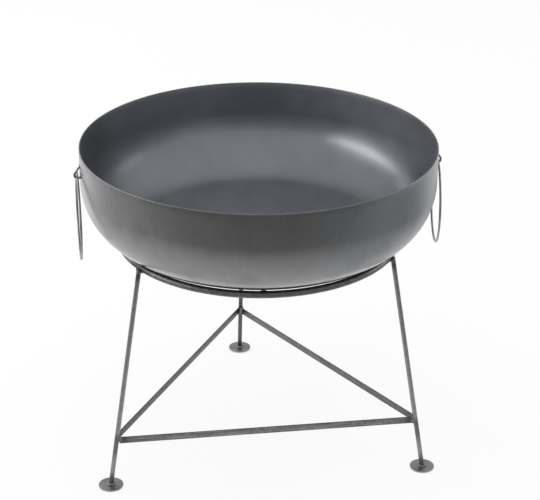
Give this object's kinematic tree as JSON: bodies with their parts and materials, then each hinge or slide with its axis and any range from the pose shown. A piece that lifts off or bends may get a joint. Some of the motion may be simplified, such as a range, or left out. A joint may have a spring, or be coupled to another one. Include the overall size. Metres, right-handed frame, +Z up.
{
  "type": "fire bowl on stand",
  "caption": "Shallow round steel fire bowl with ring handles, resting in the hoop of a splayed round-bar stand with flat disc feet.",
  "frame": {"origin": "on the floor, below the middle of the bowl and of the hoop", "axes": "+Z up, -Y the front that the picture shows, +X the right with one ring handle, -X the left with the other"},
  "size_m": [0.6226, 0.6306, 0.5572],
  "materials": {
    "bowl_steel": "raw spun steel sheet, satin, darker inside",
    "stand_steel": "raw round bar with mill scale and heat tint by the welds",
    "brace_steel": "raw flat bar with mill scale",
    "foot_steel": "raw cut steel disc, satin",
    "tab_steel": "blackened steel block",
    "weld_steel": "weld bead, as laid",
    "handle_steel": "drawn steel wire, satin"
  },
  "bodies": {
    "stand": {"support_hoop": "stand_steel", "leg_back": "stand_steel", "leg_front_left": "stand_steel", "leg_front_right": "stand_steel", "foot_back": "foot_steel", "foot_front_left": "foot_steel", "foot_front_right": "foot_steel", "brace_left": "brace_steel", "brace_front": "brace_steel", "brace_right": "brace_steel", "rest_tab_front": "tab_steel", "rest_tab_right": "tab_steel", "rest_tab_left": "tab_steel", "foot_weld_back": "weld_steel", "foot_weld_front_left": "weld_steel", "foot_weld_front_right": "weld_steel", "hoop_weld_back": "weld_steel", "hoop_weld_front_left": "weld_steel", "hoop_weld_front_right": "weld_steel", "brace_weld_back": "weld_steel", "brace_weld_front_left": "weld_steel", "brace_weld_front_right": "weld_steel"},
    "bowl": {"fire_bowl": "bowl_steel", "left_handle_eye": "handle_steel", "right_handle_eye": "handle_steel", "left_eye_welds": "weld_steel", "right_eye_welds": "weld_steel"},
    "left_ring": {"left_ring_handle": "handle_steel"},
    "right_ring": {"right_ring_handle": "handle_steel"}
  },
  "joints": [
    {"name": "bowl_lift", "type": "slide", "parent": "stand", "child": "bowl", "axis": [0, 0, 1], "range_m": [0, 0.08]},
    {"name": "left_ring_swing", "type": "hinge", "parent": "bowl", "child": "left_ring", "pos_m": [-0.2996, -0.05499, 0.517], "axis": [-0.1547, 0.988, 0], "range_deg": [-12, 189]},
    {"name": "right_ring_swing", "type": "hinge", "parent": "bowl", "child": "right_ring", "pos_m": [0.30339, 0.02708, 0.517], "axis": [0.0105, -0.9999, 0], "range_deg": [-7, 185]}
  ]
}
